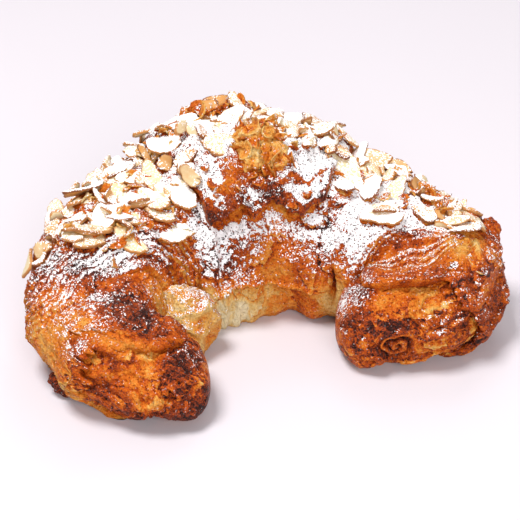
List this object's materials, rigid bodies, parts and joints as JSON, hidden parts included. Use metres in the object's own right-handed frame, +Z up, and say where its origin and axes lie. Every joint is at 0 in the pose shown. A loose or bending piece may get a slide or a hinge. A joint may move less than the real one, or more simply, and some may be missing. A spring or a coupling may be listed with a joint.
{
  "type": "almond croissant",
  "caption": "Crescent of rolled, flaky pastry with curled-in horns and a torn flap on top, strewn with flaked almonds and dusted with icing sugar.",
  "frame": {"origin": "middle of the croissant's outline, on the table it rests on", "axes": "+X along the crescent's width, to the right as the horns point at the viewer; -Y the way the horns point; +Z up"},
  "size_m": [0.159, 0.1232, 0.0669],
  "materials": {
    "crust": "baked flaky crust, golden to dark brown, satin where the glaze shows and matt where it is dusted",
    "crumb": "pale underbaked dough and almond cream, soft satin",
    "almond": "toasted almond slices, cream with a tan rim, satin",
    "sugar": "icing sugar, matt white powder"
  },
  "bodies": {
    "root": {"croissant": "crust"}
  },
  "joints": []
}
